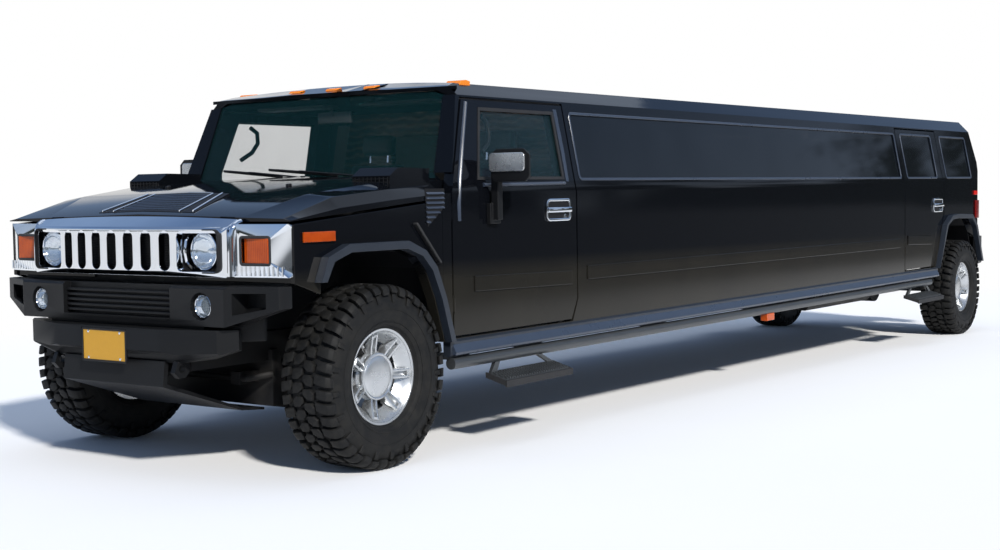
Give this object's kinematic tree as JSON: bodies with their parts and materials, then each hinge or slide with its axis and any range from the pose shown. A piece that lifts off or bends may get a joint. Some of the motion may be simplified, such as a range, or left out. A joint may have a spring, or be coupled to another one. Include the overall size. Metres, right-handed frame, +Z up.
{
  "type": "stretch limousine",
  "caption": "Long stretch limousine with an off-road style front: slotted grille, round headlamps, flared arches, side steps, hinged hood, liftgate and side doors.",
  "frame": {"origin": "bottom centre of the bounding box, on the ground under the middle of the vehicle", "axes": "+X to the front of the vehicle, +Y to its left side, +Z up"},
  "size_m": [9.9705, 2.54, 2.0138],
  "materials": {
    "body_paint": "gloss black paint",
    "frame_steel": "satin black",
    "cladding": "satin dark blue-grey",
    "bumper_plastic": "fine-grained black",
    "dark_plastic": "matt black",
    "chrome": "polished",
    "clear_lens": "clear",
    "amber_lens": "clear amber",
    "red_lens": "clear red",
    "tinted_glass": "dark tint",
    "tube_steel": "satin dark grey",
    "engine_iron": "cast",
    "pipe_steel": "dull",
    "seat_leather": "soft grain",
    "cabinet": "dark lacquer",
    "tyre_rubber": "matt",
    "rim_alloy": "polished cast"
  },
  "bodies": {
    "car_body": {"chassis_frame": "frame_steel", "floor_pan": "frame_steel", "wheel_liners": "dark_plastic", "side_left": "body_paint", "side_right": "body_paint", "roof_panel": "body_paint", "cowl_panel": "dark_plastic", "front_fenders": "body_paint", "grille_shell": "chrome", "front_lamps": "clear_lens", "amber_lamps": "amber_lens", "upper_bumper": "bumper_plastic", "lower_bumper": "bumper_plastic", "body_cladding": "cladding", "side_steps": "tube_steel", "fixed_glass": "tinted_glass", "rear_bumper": "bumper_plastic", "tail_lamps": "red_lens", "powertrain": "engine_iron", "fuel_tank": "dark_plastic", "exhaust": "pipe_steel", "dashboard": "dark_plastic", "front_seats": "seat_leather", "lounge_seat": "seat_leather", "bar_partition": "cabinet", "front_suspension": "engine_iron", "rear_axle": "engine_iron"},
    "hood": {"hood_panel": "body_paint"},
    "liftgate": {"liftgate_panel": "body_paint", "liftgate_glass": "tinted_glass"},
    "front_left_door": {"door_front_left": "body_paint", "door_glass_front_left": "tinted_glass", "mirror_left": "dark_plastic"},
    "front_right_door": {"door_front_right": "body_paint", "door_glass_front_right": "tinted_glass", "mirror_right": "dark_plastic"},
    "rear_left_door": {"door_rear_left": "body_paint", "door_glass_rear_left": "tinted_glass"},
    "rear_right_door": {"door_rear_right": "body_paint", "door_glass_rear_right": "tinted_glass"},
    "left_knuckle": {"knuckle_left": "engine_iron"},
    "right_knuckle": {"knuckle_right": "engine_iron"},
    "front_left_wheel": {"tyre_front_left": "tyre_rubber", "rim_front_left": "rim_alloy"},
    "front_right_wheel": {"tyre_front_right": "tyre_rubber", "rim_front_right": "rim_alloy"},
    "rear_left_wheel": {"tyre_rear_left": "tyre_rubber", "rim_rear_left": "rim_alloy"},
    "rear_right_wheel": {"tyre_rear_right": "tyre_rubber", "rim_rear_right": "rim_alloy"}
  },
  "joints": [
    {"name": "hood_hinge", "type": "hinge", "parent": "car_body", "child": "hood", "pos_m": [4.76118, 0, 1.18953], "axis": [0, 1, 0], "range_deg": [0, 60]},
    {"name": "liftgate_hinge", "type": "hinge", "parent": "car_body", "child": "liftgate", "pos_m": [-4.629, 0, 1.85939], "axis": [0, 1, 0], "range_deg": [0, 85]},
    {"name": "front_left_door_hinge", "type": "hinge", "parent": "car_body", "child": "front_left_door", "pos_m": [3.60804, 0.985, 0.90602], "axis": [0.0108, 0, 0.9999], "range_deg": [-68, 0]},
    {"name": "front_right_door_hinge", "type": "hinge", "parent": "car_body", "child": "front_right_door", "pos_m": [3.60804, -0.985, 0.90602], "axis": [0.0108, 0, 0.9999], "range_deg": [0, 68]},
    {"name": "rear_left_door_hinge", "type": "hinge", "parent": "car_body", "child": "rear_left_door", "pos_m": [-2.68159, 0.985, 0.97422], "axis": [0.0108, 0, 0.9999], "range_deg": [-68, 0]},
    {"name": "rear_right_door_hinge", "type": "hinge", "parent": "car_body", "child": "rear_right_door", "pos_m": [-2.68159, -0.985, 0.97422], "axis": [0.0108, 0, 0.9999], "range_deg": [0, 68]},
    {"name": "steer_left", "type": "hinge", "parent": "car_body", "child": "left_knuckle", "pos_m": [4.15825, 0.74, 0.436], "axis": [0, 0, 1], "range_deg": [-30, 30]},
    {"name": "steer_right", "type": "hinge", "parent": "car_body", "child": "right_knuckle", "pos_m": [4.15825, -0.74, 0.436], "axis": [0, 0, 1], "range_deg": [-30, 30]},
    {"name": "front_left_wheel_spin", "type": "hinge", "parent": "left_knuckle", "child": "front_left_wheel", "pos_m": [4.15825, 0.875, 0.436], "axis": [0, 1, 0], "continuous": true},
    {"name": "front_right_wheel_spin", "type": "hinge", "parent": "right_knuckle", "child": "front_right_wheel", "pos_m": [4.15825, -0.875, 0.436], "axis": [0, 1, 0], "continuous": true},
    {"name": "rear_left_wheel_spin", "type": "hinge", "parent": "car_body", "child": "rear_left_wheel", "pos_m": [-4.14175, 0.875, 0.436], "axis": [0, 1, 0], "continuous": true},
    {"name": "rear_right_wheel_spin", "type": "hinge", "parent": "car_body", "child": "rear_right_wheel", "pos_m": [-4.14175, -0.875, 0.436], "axis": [0, 1, 0], "continuous": true}
  ],
  "couplings": [
    {"joint": "steer_right", "follows": "steer_left", "ratio": 1}
  ]
}
